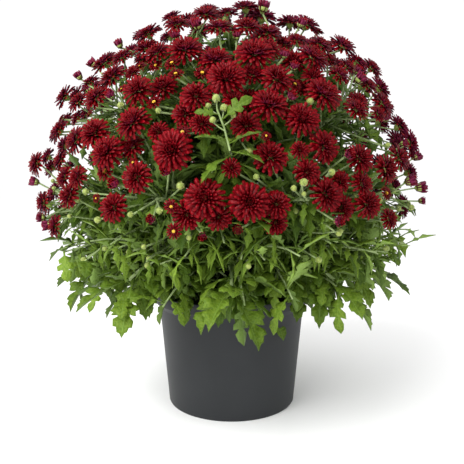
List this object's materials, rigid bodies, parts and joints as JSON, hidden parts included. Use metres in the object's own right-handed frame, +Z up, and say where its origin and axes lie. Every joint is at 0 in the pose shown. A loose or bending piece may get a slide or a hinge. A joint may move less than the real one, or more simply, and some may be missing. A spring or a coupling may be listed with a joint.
{
  "type": "potted garden chrysanthemum",
  "caption": "Round garden chrysanthemum in full dark red flower over a skirt of lobed green leaves, standing in a plain tapering nursery pot.",
  "frame": {"origin": "middle of the pot's underside, on the surface that it stands on", "axes": "+Z up, -Y towards the viewer of the picture, +X to the viewer's right"},
  "size_m": [0.4634, 0.4648, 0.4853],
  "materials": {
    "pot_plastic": "matt moulded",
    "potting_mix": "loose moist peat",
    "leaf": "matt, faintly downy",
    "petal": "soft satin"
  },
  "bodies": {
    "root": {"pot": "pot_plastic", "potting_mix": "potting_mix", "leafy_stem_01": "leaf", "leafy_stem_02": "leaf", "leafy_stem_03": "leaf", "leafy_stem_04": "leaf", "leafy_stem_05": "leaf", "leafy_stem_06": "leaf", "leafy_stem_07": "leaf", "leafy_stem_08": "leaf", "leafy_stem_09": "leaf", "leafy_stem_10": "leaf", "leafy_stem_11": "leaf", "leafy_stem_12": "leaf", "leafy_stem_13": "leaf", "leafy_stem_14": "leaf", "leafy_stem_15": "leaf", "leafy_stem_16": "leaf", "leafy_stem_17": "leaf", "leafy_stem_18": "leaf", "leafy_stem_19": "leaf", "leafy_stem_20": "leaf", "leafy_stem_21": "leaf", "leafy_stem_22": "leaf", "leafy_stem_23": "leaf", "skirt_shoot_01": "leaf", "skirt_shoot_02": "leaf", "skirt_shoot_03": "leaf", "skirt_shoot_04": "leaf", "skirt_shoot_05": "leaf", "skirt_shoot_06": "leaf", "skirt_shoot_07": "leaf", "skirt_shoot_08": "leaf", "skirt_shoot_09": "leaf", "bud_sprig": "leaf", "bloom_spray_01": "petal", "bloom_spray_02": "petal", "bloom_spray_03": "petal", "bloom_spray_04": "petal", "bloom_spray_05": "petal", "bloom_spray_06": "petal", "bloom_spray_07": "petal", "bloom_spray_08": "petal", "bloom_spray_09": "petal", "bloom_spray_10": "petal", "bloom_spray_11": "petal", "bloom_spray_12": "petal", "bloom_spray_13": "petal", "bloom_spray_14": "petal", "bloom_spray_15": "petal", "bloom_spray_16": "petal", "bloom_spray_17": "petal", "bloom_spray_18": "petal", "bloom_spray_19": "petal", "bloom_spray_20": "petal", "bloom_spray_21": "petal", "bloom_spray_22": "petal", "bloom_spray_23": "petal"}
  },
  "joints": []
}
